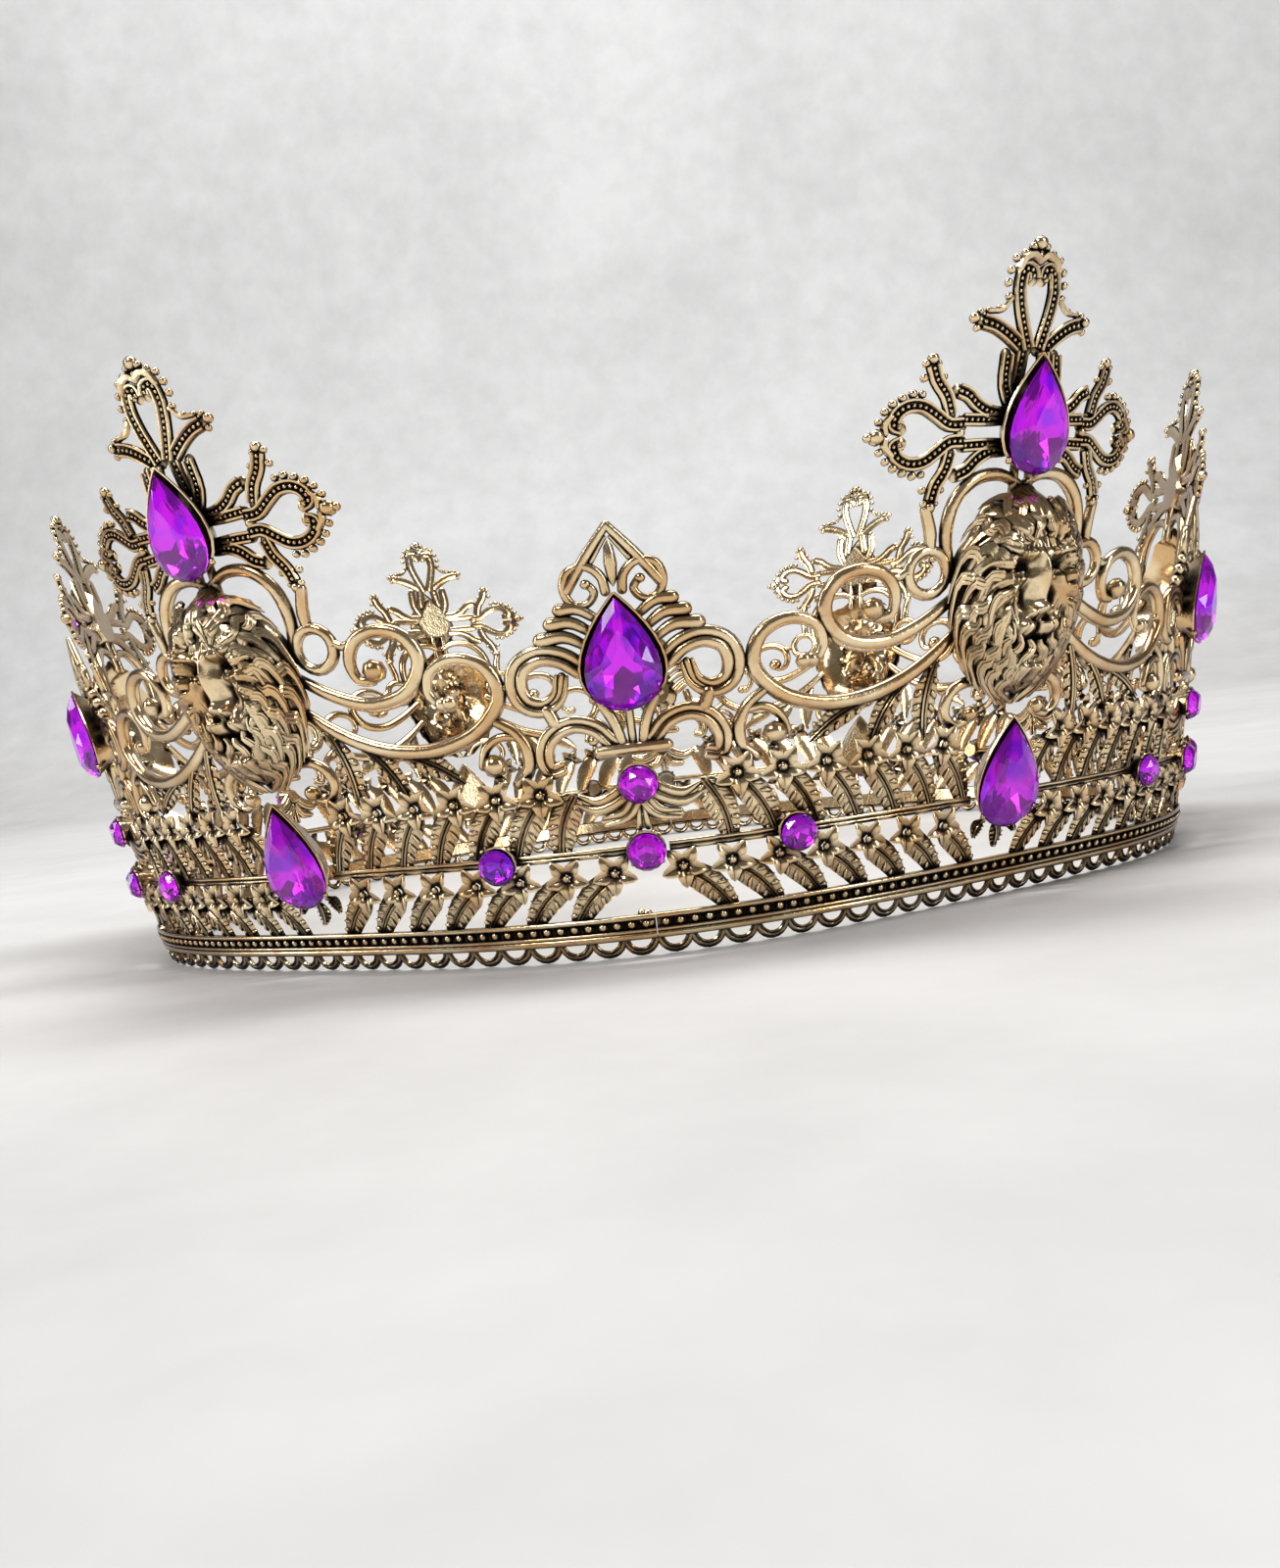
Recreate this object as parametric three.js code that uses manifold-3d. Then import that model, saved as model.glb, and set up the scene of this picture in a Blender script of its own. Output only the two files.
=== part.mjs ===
// A crystal crown of cast metal. Six panels stand round an oval head opening, each a lion's head under a
// cross, between leafy scrolls, with a fleur-de-lis beside it. Cut stones stand 0.3 mm off flat settings.
// Millimetres, +Z up, the front fleur faces -Y, and the crown rests on its scalloped edge at z = 0.
//
// A panel is drawn flat first: x runs along the rail away from the lion's middle line, y is the height over
// the rail and z is the depth towards the viewer. onCrown() then wraps it round the crown.
import * as THREE from 'three';
import { mergeVertices } from 'three/addons/utils/BufferGeometryUtils.js';
import Module from 'manifold-3d';

// The crown's round shape
const panelCount = 6;
const railRadius = 92.5;
const railHeight = 13.6;
const oval = 0.0278; // longer from front to back, by this share each way
const lobing = 0.0178; // fleurs stand out and lions stand in, by this share
const flareMean = 0.2275; // outward lean, per unit of height
const flareSwing = 0.0485; // it leans more at the lions than at the fleurs
const panelAngle = (2 * Math.PI) / panelCount;
const fleurAt = (railRadius * panelAngle) / 2; // from a lion's middle line to the fleur's
const pieceGap = 0.3; // between two panels, and between a stone and its setting
const slack = 0.26; // how far a joined outline may be straightened

const sheet = { back: -0.6, front: 0.9 };

// The girdle round the foot of the crown
const band = { top: -8.3, bottom: -11.3, back: -0.9, front: 1.5, recess: 1.1, lip: 0.8, rim: 0.7, steps: 6 };
const rail = { width: 1.0, steps: 8 };
const leaf = { count: 6, width: 2.4 };
const lowerLeaves = { first: 43.6, pitch: 6.6, lean: 6.4, top: 0, foot: -9.4 };
const upperLeaves = { first: 41.0, pitch: 6.3, lean: 3.9, top: 7.4, foot: 0 };
const flowers = { peak: 10.2, valley: 9.0, foot: 6.7, end: 2.2 };

// Curled bars. lead is the run-in, [across, up], from the root to the curl; the curl winds from one angle to
// another about its middle, 0 pointing away from the middle line and 90 up, closing from radius to end.
const lionScrolls = [
  { name: 'upper scroll', width: 1.9, steps: 7, lead: [[8.5, 26.2], [13.6, 23.2]],
    middle: [20.8, 25.9], radius: 4.6, end: 2.4, from: -100, to: 200 },
  { name: 'lower scroll', width: 1.9, steps: 8, lead: [[8.5, 21.5], [14.4, 17.2], [20.4, 15.3]],
    middle: [29.0, 20.6], radius: 5.4, end: 3.2, from: -100, to: 180 },
  { name: 'chin scroll', width: 1.4, steps: 4, lead: [[1.5, 13.6]],
    middle: [6.2, 12.4], radius: 3.3, end: 2.6, from: 115, to: -80 },
];
const fleurScrolls = [
  { name: 'side scroll', width: 2.2, steps: 6, lead: [[3.6, 22.6]],
    middle: [9.3, 21.2], radius: 3.3, end: 2.5, from: 130, to: -175 },
  { name: 'foot scroll', width: 1.7, steps: 4, lead: [[1.6, 13.2]],
    middle: [7.0, 12.8], radius: 3.1, end: 2.3, from: 130, to: -105 },
];

// Plain bars along a few points
const lionBars = [
  { name: 'horn arc', width: 1.7, path: [[9.4, 29], [10.5, 35], [8.2, 39.2], [2.6, 39.8]] },
  { name: 'cheek ring', width: 1.4, path: [[9.5, 27.6], [14.8, 27.8], [15.0, 31.6], [9.5, 31.4]] },
  { name: 'tine link', width: 1.6, path: [[13.2, 31.8], [13.1, 37.4]] },
  { name: 'side hook', width: 2.0, path: [[32.6, 16.3], [35.4, 13.4], [34.6, 8.0]] },
  { name: 'first hanging leaf', width: 2.6, path: [[20.6, 15.7], [26.6, 8.4]] },
  { name: 'second hanging leaf', width: 2.6, path: [[15.6, 16.8], [19.6, 8.4]] },
  { name: 'third hanging leaf', width: 2.4, path: [[11.2, 18.9], [12.4, 8.4]] },
];
const fleurBars = [
  { name: 'scroll link', width: 1.4, path: [[9.2, 18.6], [8.3, 15.4]] },
  { name: 'stem', width: 1.1, path: [[1.4, 18.4], [0.9, 12.4]] },
  { name: 'foot leaf', width: 1.9, path: [[0.6, 6.8], [3.3, 5.0], [5.4, 6.0]] },
];
// Half outlines, [across, up], of the plates on a fleur's middle line
const fleurPlates = [
  { name: 'tip and ridges', half: [[0, 38.6], [4.9, 32.0], [4.6, 30.0], [9.2, 26.4], [7.6, 24.0], [0, 22.0]] },
  { name: 'foot', half: [[0, 9.0], [1.6, 7.0], [4.6, 4.2], [1.2, 3.0], [0.9, 0.3], [0, 0.3]] },
];
const crossbar = { half: 4.1, up: 12.3, width: 1.6 };
const solderJoint = { across: 13.7, up: 21.3, width: 1.6, reach: 1.2 };

// The cross: one arm's outline, out along x, with a pierced lobe and a tine on each side
const arm = { root: 1.5, waist: 9.2, tine: 13.0, lobe: 16.2, tip: 20.0, waistHalf: 2.4, lobeHalf: 3.5, hole: 2.4 };
const crossArms = [
  { name: 'right arm', turn: 0, up: 45.2, reach: 1, tine: 8.4 },
  { name: 'left arm', turn: 180, up: 45.2, reach: 1, tine: 8.4 },
  { name: 'top arm', turn: 90, up: 46.6, reach: 1.03, tine: 7.2 },
];

// The lion's head, from the mane forwards. A raised form is this share as wide at its front as at its foot.
const mane = { middle: 24.8, wide: 10.4, tall: 12.4, locks: 6, tuck: 0.9 };
const raisedForms = [
  { name: 'mane', up: 24.8, wide: 18.6, high: 22.6, back: 0.4, front: 3.2, sides: 8, share: 0.8 },
  { name: 'face', up: 26.4, wide: 13.4, high: 15.6, back: 2.9, front: 5.2, sides: 6, share: 0.85 },
  { name: 'chin', up: 16.7, wide: 4.4, high: 2.0, back: 2.9, front: 4.6, sides: 4, share: 0.8 },
];
const muzzle = {
  brow: 9.0, nose: 3.0, mouth: 6.4, top: 31.0, browFoot: 28.6, mouthTop: 23.6, foot: 20.8, back: 5.0, front: 6.9 };

// Stones, by the middle line that they stand on. Pear stones stand point up.
const pearStones = [
  { name: 'cross_stone', on: 'lion', up: 46.9, width: 9.6, height: 13.6 },
  { name: 'chin_stone', on: 'lion', up: 3.3, width: 10.2, height: 14.0 },
  { name: 'fleur_stone', on: 'fleur', up: 23.9, width: 9.2, height: 13.4 },
];
const roundStones = [
  { name: 'fleur_round', across: 0, up: 8.3 },
  { name: 'seam_round', across: 0, up: 0 },
  { name: 'rail_round_left', across: -17.7, up: 0 },
  { name: 'rail_round_right', across: 17.7, up: 0 },
];
// A stone slopes from its flat back to its table, which is this share as wide
const pearCut = { sides: 10, swell: 1.3, table: 0.58, deep: 3.2 };
const roundCut = { sides: 8, radius: 2.35, table: 0.58, deep: 2.2 };
const setting = { lip: 0.5, roundSides: 6 };
const middleLine = { lion: 0, fleur: fleurAt };

const antiqueGold = { color: 0xa8895a, metalness: 1, roughness: 0.34 };
const violetGlass = { color: 0x6a1fd0, metalness: 0, roughness: 0.06 };

const wasm = await Module();
wasm.setup();

// The wrapped surface: a point of the flat drawing about the middle line at the given azimuth
function onCrown(across, up, depth, azimuth) {
  const angle = azimuth + across / railRadius;
  const beat = Math.cos(panelCount * angle);
  const lean = ((flareMean - flareSwing * beat) * up) / railRadius;
  const radius = railRadius * (1 + lobing * beat + lean) * (1 + oval * Math.cos(2 * angle)) + depth;
  return new THREE.Vector3(radius * Math.sin(angle), -radius * Math.cos(angle), railHeight + up);
}

// A three.js geometry as a solid, and back again with each point moved by place()
function solid(geometry) {
  const bare = geometry.index ? geometry.toNonIndexed() : geometry.clone();
  bare.deleteAttribute('normal');
  bare.deleteAttribute('uv');
  const merged = mergeVertices(bare, 1e-4);
  return new wasm.Manifold(new wasm.Mesh({
    numProp: 3,
    vertProperties: new Float32Array(merged.attributes.position.array),
    triVerts: new Uint32Array(merged.index.array),
  }));
}

function geometryOf(body, place) {
  const { vertProperties, triVerts } = body.getMesh();
  const points = new THREE.BufferAttribute(new Float32Array(vertProperties), 3);
  for (let i = 0; i < points.count; i++) {
    const spot = place(points.getX(i), points.getY(i), points.getZ(i));
    points.setXYZ(i, spot.x, spot.y, spot.z);
  }
  const geometry = new THREE.BufferGeometry().setAttribute('position', points);
  geometry.setIndex(new THREE.BufferAttribute(new Uint32Array(triVerts), 1));
  geometry.computeVertexNormals();
  return geometry;
}

const join = (geometries) => wasm.Manifold.union(geometries.map(solid));
const simplified = (body) => body.asOriginal().simplify(slack); // faces that lie in one plane become one

// A plate with the given outline between two depths
function plate(outline, { back, front } = sheet, hole = []) {
  const shape = new THREE.Shape(outline.map(([x, y]) => new THREE.Vector2(x, y)));
  if (hole.length) shape.holes.push(new THREE.Path(hole.map(([x, y]) => new THREE.Vector2(x, y))));
  const geometry = new THREE.ExtrudeGeometry(shape, { depth: front - back, bevelEnabled: false });
  return geometry.translate(0, 0, back);
}

// The corners of a regular figure about the origin, one unit out
const ring = (sides) => Array.from({ length: sides }, (_, i) => {
  const angle = (2 * Math.PI * i) / sides;
  return [Math.cos(angle), Math.sin(angle)];
});

const rectangle = (left, right, low, high) => [[left, low], [right, low], [right, high], [left, high]];

// A curve in the drawing's plane whose frames never roll, so that a swept section stays square to the sheet
class FlatPath extends THREE.Curve {
  constructor(points, smooth) {
    super();
    this.spots = points.map(([x, y]) => new THREE.Vector3(x, y, 0));
    this.curve = smooth && new THREE.CatmullRomCurve3(this.spots, false, 'centripetal');
  }

  getPoint(t, target = new THREE.Vector3()) {
    if (this.curve) return this.curve.getPoint(t, target);
    const place = t * (this.spots.length - 1);
    const before = Math.min(Math.floor(place), this.spots.length - 2);
    return target.lerpVectors(this.spots[before], this.spots[before + 1], place - before);
  }

  getSpacedPoints(count) {
    if (this.curve || this.spots.length === 2) return super.getSpacedPoints(count);
    return this.spots;
  }

  computeFrenetFrames(count) {
    const spots = this.getSpacedPoints(count);
    const frames = { tangents: [], normals: [], binormals: [] };
    for (let i = 0; i < spots.length; i++) {
      const before = spots[Math.max(i - 1, 0)];
      const after = spots[Math.min(i + 1, spots.length - 1)];
      const tangent = after.clone().sub(before).normalize();
      frames.tangents.push(tangent);
      frames.normals.push(new THREE.Vector3(-tangent.y, tangent.x, 0));
      frames.binormals.push(new THREE.Vector3(0, 0, 1));
    }
    return frames;
  }
}

// A square bar: smooth through its points in the given steps, or straight from each to the next
function bar(points, width, smoothSteps = 0) {
  const section = new THREE.Shape(rectangle(-width / 2, width / 2, sheet.back, sheet.front)
    .map(([x, y]) => new THREE.Vector2(x, y)));
  return new THREE.ExtrudeGeometry(section, {
    extrudePath: new FlatPath(points, smoothSteps > 0), steps: smoothSteps || points.length - 1, bevelEnabled: false,
  });
}

function curlPoints({ lead, middle, radius, end, from, to }) {
  const turns = Math.max(3, Math.round(Math.abs(to - from) / 40));
  const points = [...lead];
  for (let i = 0; i <= turns; i++) {
    const angle = THREE.MathUtils.degToRad(from + ((to - from) * i) / turns);
    const reach = radius + ((end - radius) * i) / turns;
    points.push([middle[0] + reach * Math.cos(angle), middle[1] + reach * Math.sin(angle)]);
  }
  return points;
}

// A raised block on the lion's head, narrower at its front
function raised({ up, wide, high, back, front, sides, share }) {
  const corner = 1 / Math.cos(Math.PI / sides);
  const block = new THREE.CylinderGeometry(share * corner, corner, front - back, sides, 1);
  return block.rotateY(Math.PI / sides).rotateX(Math.PI / 2)
    .scale(wide / 2, high / 2, 1).translate(0, up, (front + back) / 2);
}

const shifted = (points, side, middle) => points.map(([x, y]) => [middle + side * x, y]);

function leaves(side) {
  const forms = [];
  const zigzag = [];
  for (let i = 0; i < leaf.count; i++) {
    const low = lowerLeaves.first - lowerLeaves.pitch * i;
    forms.push(bar(shifted([[low, lowerLeaves.top], [low - lowerLeaves.lean, lowerLeaves.foot]], side, 0), leaf.width));
    const high = upperLeaves.first - upperLeaves.pitch * i;
    forms.push(bar(shifted([[high, upperLeaves.top], [high - upperLeaves.lean, upperLeaves.foot]], side, 0), leaf.width));
    if (i > 0) zigzag.push([side * (high + upperLeaves.pitch / 2), flowers.valley], [side * high, flowers.peak]);
  }
  const start = zigzag[0][0];
  const end = zigzag[zigzag.length - 1][0] - side * flowers.end;
  forms.push(plate([...zigzag, [end, flowers.valley], [end, flowers.foot], [start, flowers.foot]]));
  return forms;
}

function crossArm({ turn, up, reach, tine }) {
  const half = [
    [arm.root, arm.waistHalf], [arm.waist, arm.waistHalf], [arm.tine - 1.1, arm.lobeHalf], [arm.tine - 0.6, tine],
    [arm.tine + 0.8, tine], [arm.tine + 1.3, arm.lobeHalf], [arm.lobe, arm.lobeHalf], [arm.tip, 0]];
  const outline = [...half, ...half.slice(0, -1).reverse().map(([x, y]) => [x, -y])];
  const hole = [[arm.waist + 1.6, 0], [arm.tine + 1.4, -arm.hole / 2], [arm.lobe + 1, 0], [arm.tine + 1.4, arm.hole / 2]];
  return plate(outline, sheet, hole).scale(reach, 1, 1).rotateZ(THREE.MathUtils.degToRad(turn)).translate(0, up, 0);
}

function scrollwork(scrolls, bars, side, middle) {
  return [
    ...scrolls.map((scroll) => bar(shifted(curlPoints(scroll), side, middle), scroll.width, scroll.steps)),
    ...bars.map(({ path, width }) => bar(shifted(path, side, middle), width)),
  ];
}

// Where a point of a unit circle lies on a drop of the given size, point up
function onPear(x, y, width, height) {
  const swell = pearCut.swell * Math.sqrt((1 - y / (Math.hypot(x, y) || 1)) / 2);
  return [(x * swell * width) / 2, (y * height) / 2];
}

function settings() {
  const pears = pearStones.map(({ on, up, width, height }) => plate(ring(pearCut.sides).map(([x, y]) => {
    const [across, rise] = onPear(-y, x, width + 2 * setting.lip, height + 2 * setting.lip);
    return [middleLine[on] + across, up + rise];
  })));
  const reach = roundCut.radius + setting.lip;
  const rounds = roundStones.map(({ across, up }) => {
    // the stone to the right of a fleur sits on the next panel, so it is drawn at this panel's other end
    const middle = across > 0 ? across - fleurAt : across + fleurAt;
    return plate(ring(setting.roundSides).map(([x, y]) => [middle + x * reach, up + y * reach]));
  });
  return [...pears, ...rounds];
}

// A cut stone of unit radius, its flat back at depth 0
function cutStone({ sides, table, deep }) {
  const profile = [[0, 0], [1, 0], [table, deep], [0, deep]].map(([x, y]) => new THREE.Vector2(x, y));
  return solid(new THREE.LatheGeometry(profile, sides).rotateX(Math.PI / 2));
}

// The frame a stone stands in: along the crown, up, and outwards
function seat(across, up, azimuth) {
  const right = onCrown(across + 1, up, 0, azimuth).sub(onCrown(across - 1, up, 0, azimuth)).normalize();
  const rise = onCrown(across, up + 1, 0, azimuth).sub(onCrown(across, up - 1, 0, azimuth));
  const out = right.clone().cross(rise).normalize();
  const frame = new THREE.Matrix4().makeBasis(right, out.clone().cross(right), out);
  return frame.setPosition(onCrown(across, up, 0, azimuth).addScaledVector(out, sheet.front + pieceGap));
}

// All that is cast at the sheet's own depth
function sheetForms() {
  const forms = [...crossArms.map(crossArm), ...leaves(-1), ...leaves(1), ...settings(), plate(maneOutline())];
  for (const side of [-1, 1]) {
    forms.push(...scrollwork(lionScrolls, lionBars, side, 0), ...scrollwork(fleurScrolls, fleurBars, side, fleurAt));
  }
  for (const { half } of fleurPlates) {
    const other = half.slice().reverse().filter(([x]) => x > 0);
    forms.push(plate([...shifted(half, 1, fleurAt), ...shifted(other, -1, fleurAt)]));
  }
  const seatReach = roundCut.radius + setting.lip + pieceGap;
  forms.push(bar([[-fleurAt + seatReach, 0], [fleurAt, 0]], rail.width, rail.steps));
  const left = fleurAt - solderJoint.across - solderJoint.reach;
  forms.push(bar([[left, solderJoint.up], [left + 2 * solderJoint.reach, solderJoint.up]], solderJoint.width));
  forms.push(bar([[fleurAt - crossbar.half, crossbar.up], [fleurAt + crossbar.half, crossbar.up]], crossbar.width));
  return forms;
}

function girdle() {
  const reach = fleurAt - pieceGap / 2;
  const section = [
    [band.top, band.back], [band.top, band.front], [band.top - band.lip, band.recess],
    [band.bottom + band.lip, band.recess], [band.bottom + band.lip / 2, band.front], [band.bottom, band.rim],
    [-railHeight, band.rim], [-railHeight, band.back]];
  return new THREE.ExtrudeGeometry(new THREE.Shape(section.map(([up, depth]) => new THREE.Vector2(up, depth))),
    { extrudePath: new FlatPath([[-reach, 0], [reach, 0]], true), steps: band.steps, bevelEnabled: false });
}

function maneOutline() {
  return ring(2 * mane.locks).map(([x, y], i) => {
    const reach = i % 2 ? 1 : mane.tuck;
    return [mane.wide * reach * x, mane.middle + mane.tall * reach * y];
  });
}

// Brow, nose and mouth, in one figure like an I
function muzzleOutline() {
  const { brow, nose, mouth, top, browFoot, mouthTop, foot } = muzzle;
  const half = [[brow, top], [brow, browFoot], [nose, browFoot], [nose, mouthTop], [mouth, mouthTop], [mouth, foot]];
  return [...half.map(([x, y]) => [x / 2, y]), ...half.reverse().map(([x, y]) => [-x / 2, y])];
}

const relief = [girdle(), ...raisedForms.map(raised), plate(muzzleOutline(), muzzle)];
const panel = simplified(join(sheetForms())).add(join(relief));
const crown = new THREE.Group();

function addPiece(name, geometry, look, frame = new THREE.Matrix4()) {
  const piece = new THREE.Mesh(geometry, new THREE.MeshStandardMaterial(look));
  piece.name = name;
  piece.position.setFromMatrixPosition(frame);
  piece.quaternion.setFromRotationMatrix(frame);
  crown.add(piece);
}

for (let i = 0; i < panelCount; i++) {
  const middles = { lion: (i - 0.5) * panelAngle, fleur: i * panelAngle };
  addPiece(`panel_${i + 1}`, geometryOf(panel, (x, y, z) => onCrown(x, y, z, middles.lion)), antiqueGold);
  for (const { name, on, up, width, height } of pearStones) {
    const pear = geometryOf(cutStone(pearCut), (x, y, z) => new THREE.Vector3(...onPear(x, y, width, height), z));
    addPiece(`${name}_${i + 1}`, pear, violetGlass, seat(0, up, middles[on]));
  }
  for (const { name, across, up } of roundStones) {
    const round = geometryOf(cutStone(roundCut), (x, y, z) => ({ x: x * roundCut.radius, y: y * roundCut.radius, z }));
    addPiece(`${name}_${i + 1}`, round, violetGlass, seat(across, up, middles.fleur));
  }
}

export default crown;
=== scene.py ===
# Dresses the crystal crown: six openwork castings in antique gold, and the violet stones set in them.
# The ornament is drawn flat, in millimetres, and then bent round the crown: x runs along the rail from the
# middle of a lion's head, y is the height over the rail, and z stands out towards the viewer.
import math
import bmesh
import bpy
import numpy as np
from mathutils import Matrix, Vector


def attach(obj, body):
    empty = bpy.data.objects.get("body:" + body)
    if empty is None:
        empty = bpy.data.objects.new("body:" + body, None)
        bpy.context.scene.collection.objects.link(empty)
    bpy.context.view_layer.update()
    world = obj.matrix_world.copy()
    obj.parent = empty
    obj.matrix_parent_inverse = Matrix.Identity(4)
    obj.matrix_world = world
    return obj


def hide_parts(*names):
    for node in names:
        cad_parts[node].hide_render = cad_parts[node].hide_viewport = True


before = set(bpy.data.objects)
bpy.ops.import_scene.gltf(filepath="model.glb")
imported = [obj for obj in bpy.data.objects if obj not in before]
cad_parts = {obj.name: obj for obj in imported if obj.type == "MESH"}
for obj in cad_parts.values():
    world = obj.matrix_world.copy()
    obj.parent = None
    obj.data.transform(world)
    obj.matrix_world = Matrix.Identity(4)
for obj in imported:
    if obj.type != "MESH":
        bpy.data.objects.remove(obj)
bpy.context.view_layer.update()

crownShape = {
    "panels": 6,
    "railRadius": 92.5,
    "railHeight": 13.6,
    "oval": 0.0278,  # longer from front to back
    "lobing": 0.0178,  # fleurs stand out and lions stand in
    "flare": 0.2275,  # outward lean
    "flareSwing": 0.0485,  # more of it at the lions
}
sector = 2 * math.pi / crownShape["panels"]
fleurAt = crownShape["railRadius"] * sector / 2  # from the lion's middle line to the fleur's


def onCrown(flat, azimuth):  # the flat drawing, in mm, bent round the crown, in m
    across, up, depth = np.asarray(flat, float).reshape(-1, 3).T
    angle = azimuth + across / crownShape["railRadius"]
    beat = np.cos(crownShape["panels"] * angle)
    lean = (crownShape["flare"] - crownShape["flareSwing"] * beat) * up / crownShape["railRadius"]
    radius = crownShape["railRadius"] * (1 + crownShape["lobing"] * beat + lean)
    radius = radius * (1 + crownShape["oval"] * np.cos(2 * angle)) + depth
    spots = np.column_stack([radius * np.sin(angle), -radius * np.cos(angle), crownShape["railHeight"] + up])
    return spots / 1000


def seatOn(across, up, depth, azimuth):  # a stone's frame: along the crown, up, and outwards
    left, right, low, high, here = onCrown(
        [(across - 1, up, 0), (across + 1, up, 0), (across, up - 1, 0), (across, up + 1, 0),
         (across, up, 0)],
        azimuth)
    along = Vector(right - left).normalized()
    out = along.cross(Vector(high - low)).normalized()
    turn = Matrix((along, out.cross(along), out)).transposed().to_4x4()
    return Matrix.Translation(Vector(here) + out * depth / 1000) @ turn


# Drawing in lines, balls and plates

def softLine(points, steps=5):  # a soft line through a few points
    knots = np.array([list(p) + [0.0] * (3 - len(p)) for p in points], float)
    gaps = np.linalg.norm(np.diff(knots, axis=0), axis=1)
    slopes = np.diff(knots, axis=0) / gaps[:, None]
    blend = (gaps[1:] + gaps[:-1])[:, None]
    inner = (slopes[:-1] * gaps[1:, None] + slopes[1:] * gaps[:-1, None]) / blend
    ways = np.vstack([slopes[:1], inner, slopes[-1:]])
    line = []
    for i, gap in enumerate(gaps):
        for t in np.arange(steps) / steps:
            line.append((2 * t**3 - 3 * t**2 + 1) * knots[i] + (t**3 - 2 * t**2 + t) * gap * ways[i]
                        + (3 * t**2 - 2 * t**3) * knots[i + 1] + (t**3 - t**2) * gap * ways[i + 1])
    return np.array(line + [knots[-1]])


def sideways(line):  # one unit to the left of the line's way, in the drawing's plane
    way = np.gradient(line[:, :2], axis=0)
    way /= np.linalg.norm(way, axis=1)[:, None]
    return np.column_stack([-way[:, 1], way[:, 0], np.zeros(len(line))])


def alongLine(line, pitch, margin=0.0):  # evenly spaced spots on a line
    lengths = np.concatenate([[0], np.cumsum(np.linalg.norm(np.diff(line, axis=0), axis=1))])
    count = max(2, round((lengths[-1] - 2 * margin) / pitch) + 1)
    places = np.linspace(margin, lengths[-1] - margin, count)
    return np.column_stack([np.interp(places, lengths, line[:, k]) for k in range(3)])


def rodMesh(rods, corners):  # round rods along lines, with a radius at each point
    curve = bpy.data.curves.new("rods", "CURVE")
    curve.dimensions = "3D"
    curve.bevel_depth = 1
    curve.bevel_resolution = (corners - 4) // 2
    curve.use_fill_caps = True
    for line, radii in rods:
        spline = curve.splines.new("POLY")
        spline.points.add(len(line) - 1)
        spline.points.foreach_set("co", np.column_stack([line, np.ones(len(line))]).ravel())
        spline.points.foreach_set("radius", np.asarray(radii, float))
    holder = bpy.data.objects.new("rods", curve)
    mesh = bpy.data.meshes.new_from_object(holder)
    bpy.data.objects.remove(holder)
    return mesh


class Drawing:
    # What is cast in one piece. Forms are drawn to the right of a middle line and, as a rule, mirrored.
    def __init__(self):
        self.rods = {}
        self.shapes = bmesh.new()

    def line(self, points, radius, about=0.0, both=True, steps=5, depth=0.15, corners=8, blunt=True,
             flat=1.0):
        path = softLine(points, steps)
        radii = np.interp(np.linspace(0, 1, len(path)), np.linspace(0, 1, max(2, np.size(radius))),
                          np.resize(radius, max(2, np.size(radius))))
        if blunt:
            path, radii = self.rounded(path, radii)
        for side in (1, -1) if both else (1,):
            spots = (path * (side, 1, 1) + (about, 0, depth)) / (1, 1, flat)
            self.rods.setdefault((corners, flat), []).append((spots, radii))
        return path

    def rounded(self, path, radii):  # a rounded cap at each end
        for _ in range(2):
            path, radii = path[::-1], radii[::-1]
            way = path[0] - path[1]
            way = way / np.linalg.norm(way)
            reach = radii[0]
            caps = [(0.97, 0.2), (0.78, 0.62), (0.42, 0.91)]
            path = np.vstack([[path[0] + way * reach * out for out, _ in caps], path])
            radii = np.concatenate([[reach * share for _, share in caps], radii])
        return path, radii

    def put(self, shape, places):  # copies of a small mesh
        for place in places:
            start = len(self.shapes.verts)
            self.shapes.from_mesh(shape)
            self.shapes.verts.ensure_lookup_table()
            bmesh.ops.transform(self.shapes, matrix=place, verts=self.shapes.verts[start:])

    def balls(self, spots, radius, about=0.0, both=True, depth=0.15, squash=1.0, shape=None):
        shape = shape or ballShape
        size = np.resize(radius, len(spots))
        for spot, r in zip(spots, size):
            x, y, z = list(spot) + [0.0] * (3 - len(spot))
            for side in (1, -1) if both else (1,):
                place = Matrix.Translation((about + side * x, y, z + depth))
                self.put(shape, [place @ Matrix.Diagonal((r, r, r * squash, 1))])

    def cup(self, outline, back, front, wall,
            taper=0.66):  # a plate pressed in to leave a wall, narrow behind
        sheet = bmesh.new()
        face = sheet.faces.new([sheet.verts.new((x, y, back)) for x, y in outline])
        raised = bmesh.ops.extrude_face_region(sheet, geom=[face])["geom"]
        bmesh.ops.translate(sheet, vec=(0, 0, front - back),
                            verts=[v for v in raised if isinstance(v, bmesh.types.BMVert)])
        bmesh.ops.recalc_face_normals(sheet, faces=sheet.faces)
        top = max(sheet.faces, key=lambda f: f.calc_center_median().z)
        bmesh.ops.inset_region(sheet, faces=[top], thickness=wall)
        bmesh.ops.translate(sheet, vec=(0, 0, back - front + 0.2), verts=top.verts)
        middle = sum((v.co for v in top.verts), Vector()) / len(top.verts)
        deep = [v for v in sheet.verts if v.co.z < (back + front) / 2]
        bmesh.ops.scale(sheet, vec=(taper, taper, 1), space=Matrix.Translation(-middle), verts=deep)
        self.put(asMesh(sheet), [Matrix()])

    def mesh(self):  # everything in one mesh, faces outwards
        for (corners, flat), rods in self.rods.items():
            self.put(rodMesh(rods, corners), [Matrix.Diagonal((1, 1, flat, 1))])
        self.rods = {}
        bmesh.ops.recalc_face_normals(self.shapes, faces=self.shapes.faces)
        return asMesh(self.shapes)


def asMesh(shape):
    mesh = bpy.data.meshes.new("shape")
    shape.to_mesh(mesh)
    shape.free()
    return mesh


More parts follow.
